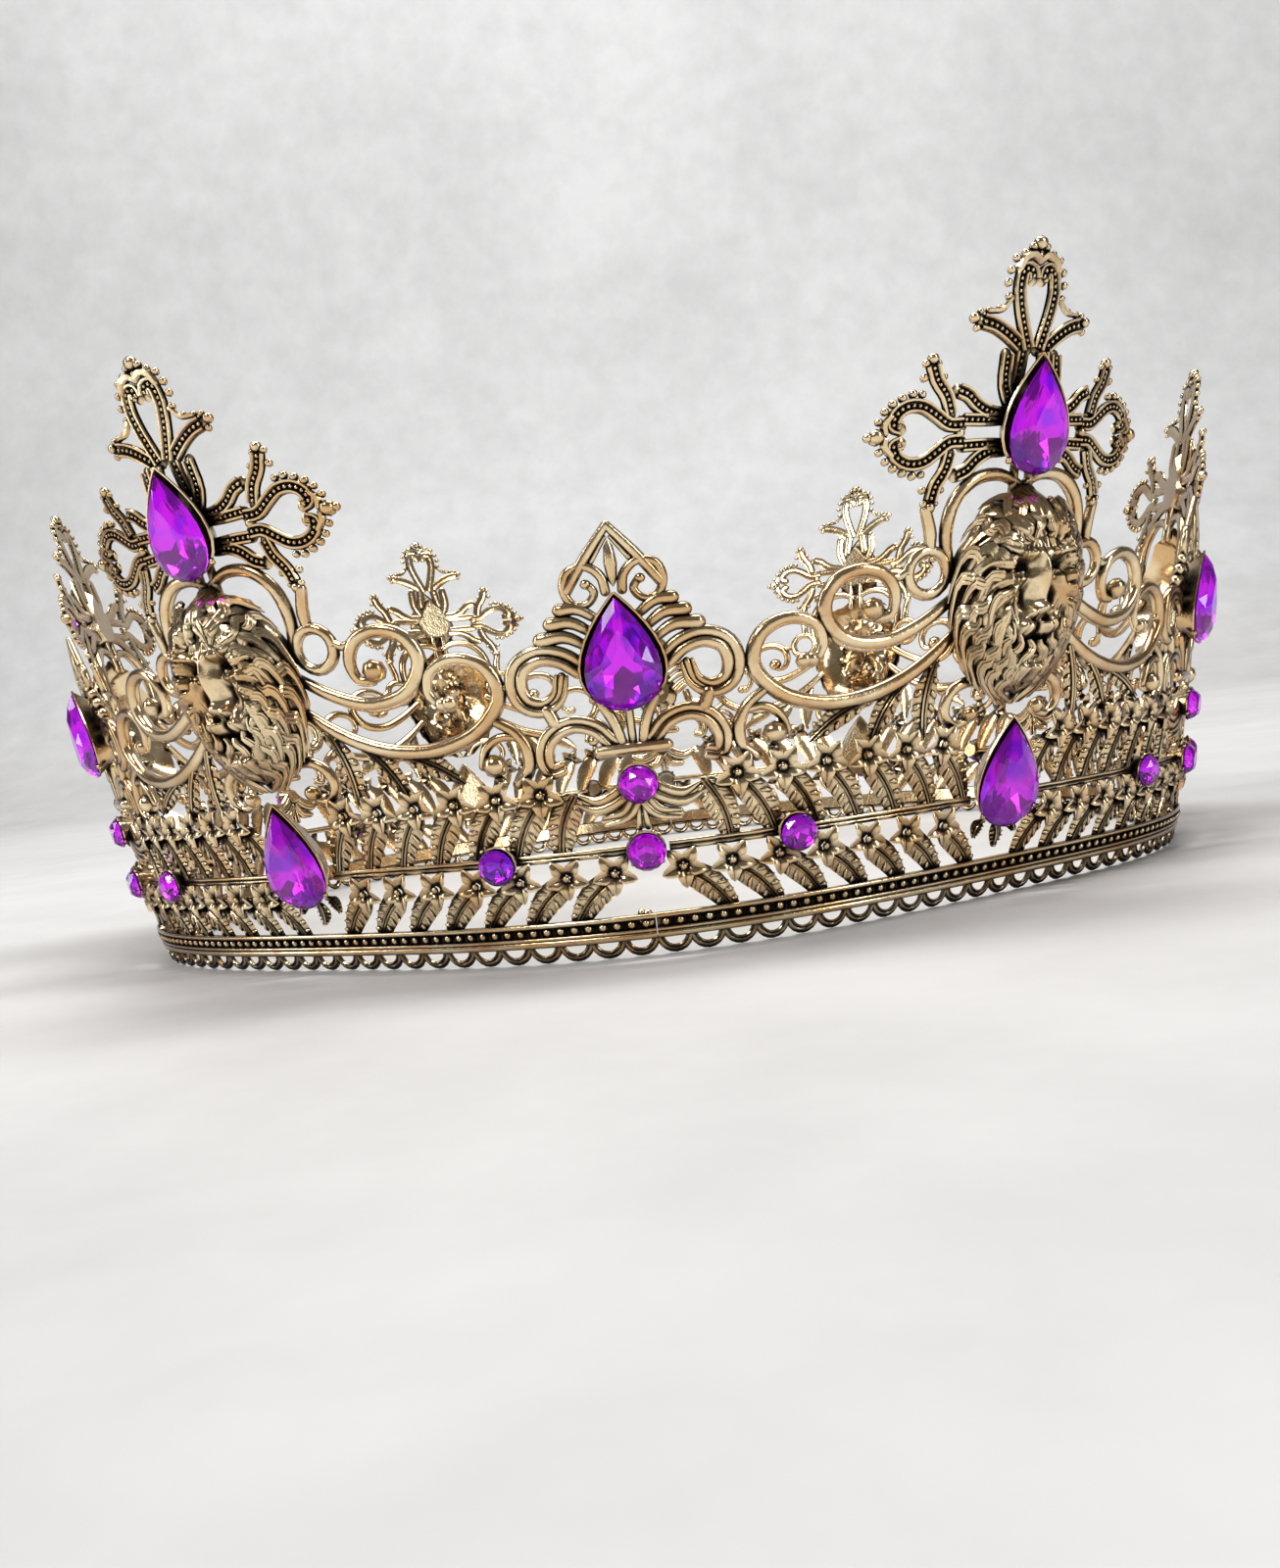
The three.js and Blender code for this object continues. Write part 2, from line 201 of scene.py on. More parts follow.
def roundBall(across, up):
    ball = bmesh.new()
    bmesh.ops.create_uvsphere(ball, u_segments=across, v_segments=up, radius=1)
    return asMesh(ball)


ballShape = roundBall(8, 5)
beadShape = roundBall(6, 4)


def pointing(start, end, high=1.0, wide=1.0, unit=10.0,
             side=1):  # lays a form drawn along +x between two spots
    (x0, y0), (x1, y1) = start, end
    turn = Matrix.Rotation(math.atan2(y1 - y0, x1 - x0), 4, "Z")
    size = Matrix.Diagonal((math.hypot(x1 - x0, y1 - y0) / unit, wide * side, high, 1))
    return Matrix.Translation((x0, y0, 0)) @ turn @ size


def bothWays(place, about=0.0):  # a place and its mirror image about a middle line
    shift = Matrix.Translation((about, 0, 0))
    return [shift @ place, shift @ Matrix.Diagonal((-1, 1, 1, 1)) @ place]


# Leaf and flower: drawn once

leafForms = {  # half widths, in shares of the widest, from the flower to the foot
    "band": {"half": 2.05, "shares": [0.50, 0.90, 1.0, 0.98, 0.88, 0.76, 0.56]},
    "hanging": {"half": 1.55, "shares": [0.16, 0.62, 0.95, 1.0, 0.86, 0.55, 0.12]},
    "length": 10.0, "rib": 0.15, "ribGap": 0.21, "teeth": 6, "bend": 0.6,
}
flowerForm = {"petals": 5, "petal": (1.36, 0.98, 0.38), "start": 0.3, "tilt": 0.18, "eye": 0.5}


def makeLeaf(kind):
    length, half, shares = leafForms["length"], leafForms[kind]["half"], leafForms[kind]["shares"]
    leaf = Drawing()
    turns = np.linspace(0, 1, len(shares))
    spine = np.column_stack([turns * length, leafForms["bend"] * np.sin(math.pi * turns)])
    leaf.line(spine, np.array(shares) * half * 0.95, both=False, steps=2, depth=0.16, corners=6, flat=0.2,
              blunt=False)
    for side in (1, -1):
        rib = spine + (0, side * leafForms["ribGap"])
        leaf.line(rib, [leafForms["rib"], leafForms["rib"] * 0.8], both=False, steps=1, depth=0.62,
                  corners=4,
                  blunt=False)
        for i in range(leafForms["teeth"]):
            t = (i + 0.5) / leafForms["teeth"]
            reach = half * np.interp(t, turns, shares) - 0.34
            y = leafForms["bend"] * math.sin(math.pi * t) + side * (0.34 + reach / 2)
            tooth = Matrix.Translation((t * length, y, 0.34)) @ Matrix.Rotation(side * 0.8, 4, "Z")
            leaf.put(toothShape, [tooth @ Matrix.Diagonal((0.62 * reach + 0.06, 0.42, 0.34, 1))])
    return leaf.mesh()


def makeFlower():  # one petal points down
    flower = Drawing()
    long, wide, thick = flowerForm["petal"]
    for i in range(flowerForm["petals"]):
        turn = Matrix.Rotation(2 * math.pi * (i + 0.75) / flowerForm["petals"], 4, "Z")
        tilt = Matrix.Rotation(-flowerForm["tilt"], 4, "Y")
        place = turn @ Matrix.Translation((flowerForm["start"], 0,
                                           0.35)) @ tilt @ Matrix.Translation((long, 0, 0))
        flower.put(petalShape, [place @ Matrix.Diagonal((long, wide, thick, 1))])
    flower.balls([(0, 0, 0.95)], flowerForm["eye"], both=False, depth=0)
    return flower.mesh()


def makePetal():  # broad near the middle of the flower, pointed outwards, creased along the middle
    petal = bmesh.new()
    bmesh.ops.create_uvsphere(petal, u_segments=8, v_segments=4, radius=1,
                              matrix=Matrix.Rotation(math.pi / 2, 4, "Y"))
    for vert in petal.verts:
        vert.co.y *= 1 - 0.5 * max(0.0, vert.co.x) ** 2
        vert.co.z += 2.1 * abs(vert.co.y) - 0.45
    return asMesh(petal)


toothShape = roundBall(5, 4)
petalShape = makePetal()
leafShape = makeLeaf("band")
hangingShape = makeLeaf("hanging")
flowerShape = makeFlower()
print("leaf and flower made")

# The girdle: rail, leaves, flowers, beaded channel and scallops

girdle = {
    "reach": fleurAt - 0.06,
    "steps": 48,
    "rail": {"wires": (-0.3, 0.3), "radius": 0.34, "depth": 0.45, "gap": 4.9},
    "channel": {"top": -8.3, "bottom": -10.6, "back": -0.7, "front": 0.35},
    "topLip": {"up": -8.5, "radius": 0.33, "depth": 0.85},
    "beads": {"up": -9.35, "pitch": 1.75, "radius": 0.54, "depth": 0.75, "cell": 0.17},
    "innerLip": {"up": -10.25, "radius": 0.24, "depth": 0.75},
    "rim": {"up": -10.9, "radius": 0.5, "depth": 0.5},
    "scallops": {"count": 24, "top": -11.1, "low": -13.1, "radius": 0.42, "inner": 0.2},
}
leafRows = {
    "lower": {"first": 44.4, "pitch": 5.8, "count": 7,
              "flower": -2.7, "top": -3.2, "foot": -8.7, "lean": 5.4},
    "upper": {"first": 37.1, "pitch": 5.4, "count": 6,
              "flower": 7.9, "top": 7.4, "foot": 0.3, "lean": 4.1},
}


def drawGirdle(cast):
    reach = girdle["reach"]
    for part in ("topLip", "innerLip", "rim"):
        size = girdle[part]
        cast.line([(-reach, size["up"]), (reach, size["up"])], size["radius"], both=False,
                  steps=girdle["steps"], depth=size["depth"], corners=8, blunt=False)
    rail = girdle["rail"]
    for up in rail["wires"]:
        for start, end in ((-reach + 2.6, -rail["gap"]), (rail["gap"], reach)):
            cast.line([(start, up), (end, up)], rail["radius"], both=False, steps=girdle["steps"] // 2,
                      depth=rail["depth"], blunt=False)
    channel = girdle["channel"]
    floor = bmesh.new()
    bmesh.ops.create_grid(floor, x_segments=girdle["steps"], y_segments=1, size=0.5)
    bmesh.ops.scale(floor, vec=(2 * reach, channel["top"] - channel["bottom"], 1), verts=floor.verts)
    middle = (channel["top"] + channel["bottom"]) / 2
    bmesh.ops.translate(floor, vec=(0, middle, channel["back"]), verts=floor.verts)
    raised = bmesh.ops.extrude_face_region(floor, geom=floor.faces[:])["geom"]
    bmesh.ops.translate(floor, vec=(0, 0, channel["front"] - channel["back"]),
                        verts=[v for v in raised if isinstance(v, bmesh.types.BMVert)])
    cast.put(asMesh(floor), [Matrix()])
    beads = girdle["beads"]
    count = int(2 * reach / beads["pitch"])
    row = [((i - (count - 1) / 2) * beads["pitch"], beads["up"]) for i in range(count)]
    cast.balls(row, beads["radius"], both=False, depth=beads["depth"], shape=beadShape)
    for x, _ in row[:-1]:
        wall = [(x + beads["pitch"] / 2, y) for y in (channel["top"], channel["bottom"])]
        cast.line(wall, beads["cell"], both=False, steps=1, depth=0.5, corners=4, blunt=False)
    loops = girdle["scallops"]
    pitch = 2 * reach / loops["count"]
    for i in range(loops["count"]):
        middle = -reach + (i + 0.5) * pitch
        half = pitch / 2 - 0.1
        drop = loops["low"] - loops["top"]
        arch = [(middle - half * math.cos(a), loops["top"] + drop * math.sin(a))
                for a in np.linspace(0, math.pi, 11)]
        cast.line(arch, loops["radius"], both=False, steps=1, depth=0.1, blunt=False)
        inner = [(middle + (x - middle) * 0.8, loops["top"] + (y - loops["top"]) * 0.76) for x, y in arch]
        cast.line(inner, loops["inner"], both=False, steps=1, depth=0.4, corners=4, blunt=False)


def drawLeaves(cast):
    low, high = leafRows["lower"], leafRows["upper"]
    for i in range(low["count"]):
        x = low["first"] - low["pitch"] * i
        foot = (x - low["lean"], low["foot"])
        cast.put(leafShape, bothWays(pointing((x - 0.1, low["top"]), foot, side=-1, wide=0.92)))
        turn = Matrix.Rotation(0.05 * (i % 3 - 1), 4, "Z") @ Matrix.Scale(0.94, 4)
        cast.put(flowerShape, bothWays(Matrix.Translation((x, low["flower"], 0.5)) @ turn))
    for i in range(-1, high["count"]):
        x = high["first"] - high["pitch"] * i
        start = (x - 1.5, high["top"]) if i < 0 else (x, high["top"])
        cast.put(leafShape, bothWays(pointing(start, (x - high["lean"], high["foot"]), side=-1, wide=0.98)))
        if i >= 0:
            turn = Matrix.Rotation(0.06 * (i % 3 - 1), 4, "Z") @ Matrix.Scale(0.96, 4)
            cast.put(flowerShape, bothWays(Matrix.Translation((x, high["flower"], 0.5)) @ turn))
    cast.put(hangingShape, [pointing((0, -3.4), (0, -6.9), wide=0.8)])
    cast.put(hangingShape, bothWays(pointing((2.0, -3.0), (3.8, -5.2), wide=0.7)))


# Scrollwork beside the lion, each line thick to thin

lionLines = {
    "upperScroll": {"path": [(8.6, 26.2), (13.6, 23.1), (19.0, 21.4), (23.6, 22.6), (25.6, 26.0),
                             (24.3, 29.1), (21.0, 30.3), (17.9, 29.2), (16.8, 26.7), (17.6, 24.6),
                             (19.2, 24.3)],
                    "radius": [0.75, 0.95, 1.0, 0.95, 0.9, 0.85, 0.7, 0.6]},
    "lowerScroll": {"path": [(8.6, 21.6), (11.6, 19.2), (15.4, 16.9), (20.4, 15.2), (26.4, 15.0),
                             (31.4, 16.9), (34.2, 20.8), (33.0, 24.2), (29.4, 25.6), (26.4, 24.2),
                             (25.9, 21.8), (26.9, 20.3)],
                    "radius": [0.7, 0.95, 1.05, 1.0, 0.95, 0.9, 0.8, 0.65, 0.6]},
    "sideHook": {"path": [(33.2, 17.4), (35.3, 15.8), (36.4, 13.2), (36.0, 10.8), (34.6, 9.6)],
                 "radius": [0.6, 0.8, 0.7]},
    "hookLoop": {"path": [(35.6, 15.2), (33.4, 15.5), (31.4, 14.2), (30.7, 12.2)],
                 "radius": [0.5, 0.6, 0.55]},
    "chinScroll": {"path": [(1.0, 12.4), (2.6, 14.4), (6.0, 15.4), (9.0, 14.0), (9.6, 11.6), (8.0, 10.0),
                            (6.0, 10.4)],
                   "radius": [0.5, 0.75, 0.8, 0.7, 0.55]},
    "cheekNeck": {"path": [(12.4, 31.6), (12.4, 33.6), (13.1, 36.6)], "radius": [0.65, 0.8, 0.7]},
    "cheekTie": {"path": [(15.2, 29.6), (16.6, 29.0), (17.6, 29.2)], "radius": [0.6, 0.6]},
    "hornArc": {"path": [(9.4, 28.4), (10.4, 33.4), (9.4, 37.4), (6.6, 39.9), (3.2, 40.3), (0.6, 39.2)],
                "radius": [0.7, 0.85, 0.9, 0.8, 0.6]},
    "crossStem": {"path": [(1.2, 37.0), (1.1, 42.5)], "radius": [0.6, 0.55]},
}
lionBalls = [(19.9, 25.5, 0.3, 1.5), (28.3, 20.35, 0.2, 1.05), (27.4, 20.3, 0.2, 1.0),
             (32.3, 12.1, 0.3, 1.55), (5.7, 11.2, 0.2, 1.15), (32.5, 10.2, 0.1, 0.8)]
cheekRing = {"middle": (12.6, 29.2), "radius": 2.6, "wire": 0.75}
hangingLeaves = [((20.0, 14.9), (28.2, 10.4), 1.0), ((15.4, 16.6), (20.4, 8.8), 1.0),
                 ((11.2, 18.6), (12.8, 8.6), 1.15)]


def drawLionScrolls(cast):
    for name, form in lionLines.items():
        cast.line(form["path"], form["radius"], steps=4, corners=10 if "Scroll" in name else 8)
    for x, y, z, r in lionBalls:
        cast.balls([(x, y, z)], r)
    x, y = cheekRing["middle"]
    ring = [(x + cheekRing["radius"] * math.cos(a), y + cheekRing["radius"] * math.sin(a))
            for a in np.linspace(0, 2 * math.pi, 19)]
    cast.line(ring, cheekRing["wire"], steps=1, blunt=False)
    for start, end, wide in hangingLeaves:
        cast.put(hangingShape, bothWays(pointing(start, end, wide=wide, high=1.1)))


# The cross: beaded strips between raised edges

strip = {"edge": 0.23, "bead": 0.29, "pitch": 0.7, "backing": 0.26}
sideArm = {
    "up": 45.2,
    "strips": [
        {"path": [(3.0, 2.0), (5.2, 2.2), (7.0, 3.1), (8.3, 4.3), (9.5, 4.8)], "width": 1.7},
        {"path": [(3.0, 1.5), (5.6, 1.4), (8.8, 1.5)], "width": 1.4},
        {"path": [(8.9, 0.95), (10.6, 1.0), (12.2, 2.1), (13.9, 3.15), (15.7, 3.2), (17.0, 2.3),
                  (17.3, 1.2), (16.4, 0.8)],
         "width": 1.6},
        {"path": [(10.4, 2.2), (11.0, 4.2), (12.2, 6.0), (12.7, 7.6)], "width": 1.6},
    ],
    "curls": [{"path": [(17.6, 2.2), (18.4, 1.1), (18.3, 0.4)], "radius": [0.4, 0.5, 0.45]}],
    "granules": [(12.7, 8.4, 0.7), (12.0, 7.9, 0.4), (13.5, 7.9, 0.45), (13.7, 6.3, 0.5),
                 (11.3, 6.4, 0.42), (13.9, 4.5, 0.5), (15.0, 4.6, 0.55), (16.2, 4.2, 0.55),
                 (17.3, 3.6, 0.55), (18.2, 2.8, 0.5), (18.9, 1.7, 0.5), (19.2, 0.0, 1.0),
                 (20.2, 0.0, 0.55), (16.6, 1.15, 0.42), (9.2, 0.0, 0.7)],
}
topArm = {
    "strips": [
        {"path": [(2.4, 47.6), (3.6, 50.4), (3.5, 54.0)], "width": 1.6},
        {"path": [(2.0, 50.6), (1.7, 52.6), (1.5, 54.2)], "width": 1.6},
        {"path": [(0.7, 54.6), (1.5, 57.0), (2.2, 59.6), (2.4, 61.8), (1.9, 63.4), (0.9, 63.3),
                  (0.7, 62.4)], "width": 1.55},
        {"path": [(1.9, 54.9), (3.6, 56.2), (5.4, 57.2), (6.9, 57.6)], "width": 1.8},
    ],
    "curls": [{"path": [(2.7, 63.4), (2.1, 64.5), (0.9, 64.9), (0.0, 64.3)], "radius": [0.5, 0.6, 0.6, 0.5]},
              {"path": [(3.4, 60.2), (4.6, 58.9), (6.2, 58.7)], "radius": [0.32, 0.36, 0.32]}],
    "granules": [(7.9, 58.0, 0.65), (7.2, 58.7, 0.42), (7.6, 56.9, 0.45), (6.2, 58.8, 0.45),
                 (4.9, 59.1, 0.4), (3.7, 60.4, 0.48), (3.9, 61.9, 0.5), (3.6, 63.3, 0.52),
                 (3.0, 64.6, 0.5), (1.9, 65.2, 0.5), (0.9, 65.9, 0.55), (0, 66.3, 0.9), (0, 64.9, 0.6),
                 (1.2, 62.4, 0.4)],
}


def beadedStrip(cast, path, width):
    line = softLine(path, 3)
    aside = sideways(line) * width * 0.38
    for edge in (1, -1):
        cast.line(line + aside * edge, strip["edge"], steps=1, depth=0.6, corners=6, blunt=False)
    cast.line(line, width * 0.5, steps=1, depth=0.1, corners=6, flat=strip["backing"])
    cast.balls(alongLine(line, strip["pitch"], margin=0.3), strip["bead"], depth=0.5, shape=beadShape)


def drawCross(cast):
    for flip in (1, -1):  # above and below a side arm's own middle line
        for form in sideArm["strips"]:
            beadedStrip(cast, [(x, sideArm["up"] + flip * y) for x, y in form["path"]], form["width"])
        for form in sideArm["curls"]:
            cast.line([(x, sideArm["up"] + flip * y) for x, y in form["path"]], form["radius"],
                      depth=0.5, corners=6)
        for x, y, r in sideArm["granules"]:
            if y or flip > 0:
                cast.balls([(x, sideArm["up"] + flip * y)], r, depth=0.3)
    for form in topArm["strips"]:
        beadedStrip(cast, form["path"], form["width"])
    for form in topArm["curls"]:
        cast.line(form["path"], form["radius"], depth=0.5, corners=6)
    for x, y, r in topArm["granules"]:
        cast.balls([(x, y)], r, both=x > 0, depth=0.3)


# The fleur-de-lis; grooved lines are ridges side by side

fleurLines = {
    "gable": {"path": [(0.0, 38.6), (2.6, 35.2), (5.0, 31.6)], "radius": [0.5, 0.62, 0.62], "ridges": 1},
    "innerGable": {"path": [(0.3, 37.2), (2.0, 34.6)], "radius": [0.25, 0.3], "ridges": 1},
    "volute": {"path": [(0.9, 31.0), (1.2, 32.8), (2.8, 34.2), (4.7, 33.7), (5.3, 31.7), (4.4, 29.9),
                        (2.9, 29.9), (2.1, 31.1), (2.8, 32.2)],
               "radius": [0.55, 0.55, 0.5, 0.45], "ridges": 1},
    "firstRidge": {"path": [(2.2, 28.0), (4.4, 29.5), (6.0, 29.5)], "radius": [0.55, 0.75, 0.85],
                   "ridges": 1},
    "secondRidge": {"path": [(2.8, 26.4), (5.2, 28.0), (7.2, 28.0)], "radius": [0.55, 0.8, 0.9],
                    "ridges": 1},
    "thirdRidge": {"path": [(3.4, 24.8), (6.0, 26.4), (8.5, 26.3)], "radius": [0.55, 0.8, 0.95],
                   "ridges": 1},
    "sideScroll": {"path": [(4.6, 22.4), (6.6, 24.0), (9.2, 24.6), (11.4, 23.5), (12.1, 21.2),
                            (11.3, 19.1), (9.4, 18.4), (7.7, 19.4), (6.9, 21.9)],
                   "radius": [0.65, 0.74, 0.74, 0.6, 0.2], "ridges": 2, "spread": 0.62},
    "scrollLink": {"path": [(9.0, 18.0), (8.4, 16.4)], "radius": [0.8, 0.8], "ridges": 1},
    "footScroll": {"path": [(2.2, 13.0), (4.0, 15.2), (6.8, 16.0), (9.3, 14.7), (10.2, 12.4), (9.6, 10.6),
                            (8.3, 10.9)],
                   "radius": [0.5, 0.6, 0.6, 0.45], "ridges": 2, "spread": 0.52},
    "stem": {"path": [(2.9, 18.2), (1.6, 15.0), (1.1, 12.4)], "radius": [0.7, 0.65, 0.6], "ridges": 1},
    "footLeaf": {"path": [(0.8, 8.2), (2.6, 6.6), (5.0, 5.8), (7.2, 6.8)],
                 "radius": [0.6, 0.75, 0.7, 0.2], "ridges": 2, "spread": 0.55},
    "lowLeaf": {"path": [(0.5, 6.2), (1.9, 4.3), (4.4, 3.8)], "radius": [0.55, 0.65, 0.25],
                "ridges": 2, "spread": 0.45},
    "flute": {"path": [(0.32, 6.0), (0.5, 2.6)], "radius": [0.4, 0.4], "ridges": 1},
}
solderLumps = [(-0.9, -8.3, 0.7), (-1.6, -8.0, 0.5), (-0.7, -9.3, 0.62), (-0.8, -10.4, 0.6),
               (-1.7, -9.0, 0.4)]
fleurParts = {"bar": {"half": 3.7, "up": 12.3, "radius": 0.78}, "bud": (34.2, 1.0, 2.9)}


def drawFleur(cast):
    for form in fleurLines.values():
        line = softLine(form["path"], 4)
        aside = sideways(line)
        for i in range(form["ridges"]):
            place = i - (form["ridges"] - 1) / 2
            shifted = line + 2 * place * form.get("spread", 0) * aside
            cast.line(list(shifted), form["radius"], about=fleurAt, steps=1, depth=0.3)
        if form["ridges"] > 1:
            cast.line(list(line), 0.5, about=fleurAt, steps=1, depth=0.0)
    bar = fleurParts["bar"]
    cast.line([(-bar["half"], bar["up"]), (bar["half"], bar["up"])], bar["radius"], about=fleurAt,
              both=False, depth=0.6)
    up, wide, tall = fleurParts["bud"]
    cast.put(ballShape, [Matrix.Translation((fleurAt, up, 0.3)) @ Matrix.Diagonal((wide * 0.75, tall,
                                                                                   0.7, 1))])
    cast.balls([(2.9, 32.1)], 0.62, about=fleurAt, depth=0.5)
    cast.line([(0, 18.4), (0, 12.4)], 0.5, about=fleurAt, both=False, depth=0.1)
    cast.line([(-14.9, 21.3), (-12.9, 21.3)], 0.6, about=fleurAt, both=False, steps=2, depth=0.1)
    for x, y, r in solderLumps:
        cast.balls([(x, y)], r, about=fleurAt, both=False, depth=0.4, squash=0.8)


# The lion's head: a relief with locks of mane laid round it

faceBumps = [  # name, across, up, half width, half height, how far it stands out
    ("forehead", 1.9, 32.0, 1.6, 1.9, 0.8),
    ("frown", 0.0, 31.4, 0.4, 1.6, -0.35),
    ("inner brow", 1.5, 30.0, 1.0, 0.6, 1.25),
    ("outer brow", 3.5, 30.2, 1.1, 0.55, 1.0),
    ("eye socket", 2.45, 28.4, 1.15, 0.85, -1.9),
    ("eyeball", 2.5, 28.1, 0.72, 0.46, 1.5),
    ("lower lid", 2.6, 27.2, 1.1, 0.3, 0.5),
    ("nose bridge", 0.0, 27.2, 0.85, 3.8, 2.0),
    ("nose tip", 0.0, 23.3, 1.5, 0.8, 1.5),
    ("nostril wing", 1.35, 22.9, 0.6, 0.5, 0.8),
    ("nostril", 0.85, 22.15, 0.4, 0.24, -1.0),
    ("cheekbone", 3.9, 26.0, 1.0, 1.6, 0.8),
    ("cheek hollow", 2.3, 25.2, 0.65, 1.6, -1.1),
    ("muzzle", 1.9, 21.2, 1.5, 1.2, 1.7),
    ("lip cleft", 0.0, 21.1, 0.26, 1.0, -0.9),
    ("mouth", 0.0, 19.2, 2.4, 0.62, -3.2),
    ("fang", 1.0, 19.5, 0.28, 0.42, 1.5),
    ("lower teeth", 0.5, 18.6, 0.3, 0.3, 0.8),
    ("lower lip", 0.0, 17.8, 1.6, 0.5, 1.2),
    ("chin", 0.0, 16.3, 1.4, 1.0, 1.2),
]
lionHead = {
    "middle": 25.8, "halfWidth": 9.6, "halfHeight": 12.6, "spokes": 208, "rings": 50, "wall": 0.9,
    "faceHalf": (4.5, 8.6), "foot": 1.1, "dome": 4.0, "edge": 3.2,
    "locks": {"count": 8.5, "high": 1.0, "sweep": 1.5, "wave": 0.6},
    "strands": {"count": 25, "high": 0.30},
}
maneLocks = [  # a ring of locks: where it starts and ends from the middle, how many a side, how thick
    {"from": 0.50, "to": 0.80, "locks": 9, "thick": 0.50, "start": 6, "end": 162},
    {"from": 0.66, "to": 0.98, "locks": 10, "thick": 0.56, "start": 12, "end": 168},
    {"from": 0.80, "to": 1.10, "locks": 10, "thick": 0.52, "start": 20, "end": 158},
    {"from": 0.50, "to": 0.86, "locks": 5, "thick": 0.60, "start": 3, "end": 58},
]


def headHeight(x, y, aim, far):  # aim runs from the crown of the head down each side
    head, locks, strands = lionHead, lionHead["locks"], lionHead["strands"]
    away = abs(x)
    high = head["foot"] + head["dome"] * (1 - far ** head["edge"])
    wide, tall = head["faceHalf"]
    face = math.hypot(away / wide, (y - head["middle"] + 0.6) / tall)
    hair = min(1.0, max(0.0, (face - 0.88) / 0.2)) * min(1.0, 9 * (1 - far))
    flow = aim - locks["sweep"] * (far - 0.5) * math.sin(aim) ** 0.7 + 0.08 * math.sin(7 * far + 2 * aim)
    wave = locks["wave"] * math.sin(6 * far + 2 * aim)
    high += hair * locks["high"] * abs(math.sin(locks["count"] * flow + wave)) ** 0.6
    high += hair * strands["high"] * abs(math.sin(strands["count"] * flow + 2.0 * wave)) ** 0.8
    high += 0.55 * hair * math.exp(-((face - 1.15) / 0.2) ** 2)
    for _, across, up, wide, tall, out in faceBumps:
        high += out * math.exp(-((away - across) / wide) ** 2 - ((y - up) / tall) ** 2)
    return high + 0.16 * (1 - hair) * math.sin(5.5 * away + 2.0 * math.sin(1.2 * y)) * min(1.0, away / 2)


def headSurface(spokes, rings, sink):  # a turned disc pulled into the face's relief, sink mm behind it
    disc = bmesh.new()
    spots = [disc.verts.new((0, i / rings, 0)) for i in range(rings + 1)]
    edges = [disc.edges.new(pair) for pair in zip(spots, spots[1:])]
    bmesh.ops.spin(disc, geom=spots + edges, axis=(0, 0, 1), cent=(0, 0, 0), steps=spokes,
                   angle=2 * math.pi, use_merge=True)
    bmesh.ops.remove_doubles(disc, verts=disc.verts, dist=1e-4)
    for vert in disc.verts:
        far, aim = math.hypot(vert.co.x, vert.co.y), math.atan2(abs(vert.co.x), vert.co.y)
        ragged = 1 + 0.035 * math.sin(11 * aim + 1.0) * far ** 4
        x = vert.co.x * lionHead["halfWidth"] * ragged
        y = lionHead["middle"] + vert.co.y * lionHead["halfHeight"] * ragged
        vert.co = (x, y, headHeight(x, y, aim, min(1.0, far)) - sink)
    return asMesh(disc)


def drawLion(cast):
    head = bmesh.new()
    head.from_mesh(headSurface(lionHead["spokes"], lionHead["rings"], 0))
    head.from_mesh(headSurface(lionHead["spokes"] // 4, lionHead["rings"] // 4, lionHead["wall"]))
    bmesh.ops.bridge_loops(head, edges=[edge for edge in head.edges if edge.is_boundary])
    bmesh.ops.recalc_face_normals(head, faces=head.faces)
    cast.put(asMesh(head), [Matrix()])
    random = np.random.default_rng(7)
    for ring in maneLocks:
        for side in (1, -1):
            for aim in np.linspace(math.radians(ring["start"]), math.radians(ring["end"]), ring["locks"]):
                drawLock(cast, ring, side, aim + 0.08 * random.random(), random.random())


def drawLock(cast, ring, side, start, chance):  # three strands that part towards the tip
    head = lionHead
    for strand in (-1, 0, 1):
        path = []
        for t in np.linspace(0, 1, 6):
            far = ring["from"] + (ring["to"] - ring["from"]) * t
            swing = 0.13 * math.sin(2 * math.pi * (t + 0.25 * chance))
            swing += strand * 0.055 * (0.5 + 1.2 * t * (1 - t))
            sweep = head["locks"]["sweep"] * (far - ring["from"]) * 1.3 * math.sin(start) ** 0.7
            aim = start + sweep + swing
            x = math.sin(aim) * head["halfWidth"] * far
            y = head["middle"] + math.cos(aim) * head["halfHeight"] * far
            high = head["foot"] + head["dome"] * (1 - min(1.0, far) ** head["edge"])
            lift = 0.75 + 0.45 * math.sin(math.pi * t) - 0.12 * abs(strand) - 0.9 * max(0.0, far - 0.95)
            path.append((side * max(0.1, x), y, high + lift))
        thick = ring["thick"] * (0.85 + 0.3 * chance)
        cast.line(path, [thick * 0.45, thick * 0.8, thick * 0.75, thick * 0.15], both=False, steps=2,
                  depth=0,
                  corners=6, blunt=False)


# Stones and their settings

pearStones = {  # the middle line a stone stands on, its height over the rail, width and height
    "cross_stone": {"on": "lion", "up": 46.9, "width": 9.6, "height": 13.6},
    "chin_stone": {"on": "lion", "up": 3.3, "width": 10.2, "height": 14.0},
    "fleur_stone": {"on": "fleur", "up": 23.9, "width": 9.2, "height": 13.4},
}
roundStones = {
    "fleur_round": {"across": 0.0, "up": 8.3},
    "seam_round": {"across": 0.0, "up": 0.0},
    "rail_round_left": {"across": -17.7, "up": 0.0},
    "rail_round_right": {"across": 17.7, "up": 0.0},
}
setting = {
    "lip": 0.03, "wire": 0.17, "wall": 2.4, "prong": 0.42, "back": -0.6, "seat": 1.2,
    "roundRadius": 2.35, "roundWall": 1.85, "roundInset": 0.2, "roundBack": -0.5,
    "roundLip": 0.15, "roundWire": 0.18, "roundProng": 0.27, "prongTurns": (0.8, 2.36, 3.93, 5.5),
}
pearSwell = 1.3  # how much wider than half way up
